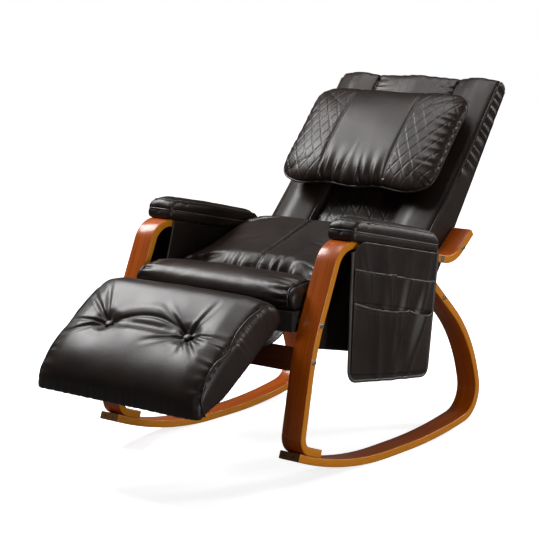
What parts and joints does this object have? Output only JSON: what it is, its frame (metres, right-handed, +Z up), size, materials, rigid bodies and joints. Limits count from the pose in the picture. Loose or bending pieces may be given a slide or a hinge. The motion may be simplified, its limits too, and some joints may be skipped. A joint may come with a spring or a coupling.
{
  "type": "massage rocking chair",
  "caption": "Upholstered rocking chair on bent-ply side frames, with padded arms, side pouches, a sliding head pillow, kneading works in the back and a tilting tufted footrest.",
  "frame": {"origin": "on the floor under the middle of the chair's box", "axes": "+Z up, the chair faces -Y, +X is the sitter's left"},
  "size_m": [0.7106, 1.3024, 0.9169],
  "materials": {
    "ply": "satin honey lacquer",
    "rail_wood": "satin dark red-brown lacquer",
    "inner_wood": "plain sawn wood",
    "leather": "satin dark espresso leather",
    "cloth": "thin grey non-woven cloth",
    "zinc": "bright zinc plate",
    "steel": "black powder coat",
    "cast_metal": "rough casting",
    "motor_can": "grey paint",
    "black_plastic": "matt",
    "soft_rubber": "matt"
  },
  "bodies": {
    "chair": {"left_rocker": "ply", "right_rocker": "ply", "left_leg_arm": "ply", "right_leg_arm": "ply", "front_rail": "rail_wood", "left_seat_rail": "inner_wood", "right_seat_rail": "inner_wood", "left_back_rail": "inner_wood", "right_back_rail": "inner_wood", "seat_front_rail": "inner_wood", "seat_rear_rail": "inner_wood", "seat_board": "inner_wood", "back_bottom_rail": "inner_wood", "back_middle_rail": "inner_wood", "back_top_rail": "inner_wood", "front_bolster": "leather", "seat_cushion": "leather", "back_cover": "leather", "back_centre_panel": "leather", "back_top_band": "leather", "hinge_gusset": "leather", "left_back_bolster": "leather", "right_back_bolster": "leather", "left_arm_pad": "leather", "right_arm_pad": "leather", "left_curtain": "leather", "right_curtain": "leather", "left_pouch_panel": "leather", "right_pouch_panel": "leather", "left_upper_pocket": "leather", "right_upper_pocket": "leather", "left_lower_pocket": "leather", "right_lower_pocket": "leather", "dust_cover": "cloth", "frame_bolts": "zinc", "arm_clips": "zinc", "bolt_spacers": "steel", "back_straps": "steel", "hinge_seat_brackets": "steel", "hinge_pins": "steel", "massage_plate": "steel", "massage_gearbox": "cast_metal", "massage_motor": "motor_can", "vibration_motors": "motor_can", "control_box": "black_plastic", "power_inlet": "black_plastic", "runner_end_plugs": "black_plastic"},
    "footrest": {"footrest_board": "inner_wood", "footrest_pad": "leather", "footrest_buttons": "leather", "hinge_pad_brackets": "steel"},
    "pillow": {"head_pillow": "leather"},
    "left_kneader": {"left_kneading_rotor": "black_plastic", "left_kneading_domes": "soft_rubber"},
    "right_kneader": {"right_kneading_rotor": "black_plastic", "right_kneading_domes": "soft_rubber"}
  },
  "joints": [
    {"name": "footrest_tilt", "type": "hinge", "parent": "chair", "child": "footrest", "pos_m": [0, -0.30925, 0.39428], "axis": [-1, 0, 0], "range_deg": [-42, 36], "deforming": ["hinge_gusset"]},
    {"name": "pillow_slide", "type": "slide", "parent": "chair", "child": "pillow", "axis": [0, 0.6569, 0.7539], "range_m": [0, 0.04]},
    {"name": "left_kneading_spin", "type": "hinge", "parent": "chair", "child": "left_kneader", "pos_m": [0.052, 0.34316, 0.49852], "axis": [0, -0.8189, 0.5739], "continuous": true},
    {"name": "right_kneading_spin", "type": "hinge", "parent": "chair", "child": "right_kneader", "pos_m": [-0.052, 0.34316, 0.49852], "axis": [0, -0.8189, 0.5739], "continuous": true}
  ],
  "couplings": [
    {"joint": "right_kneading_spin", "follows": "left_kneading_spin", "ratio": -1}
  ]
}
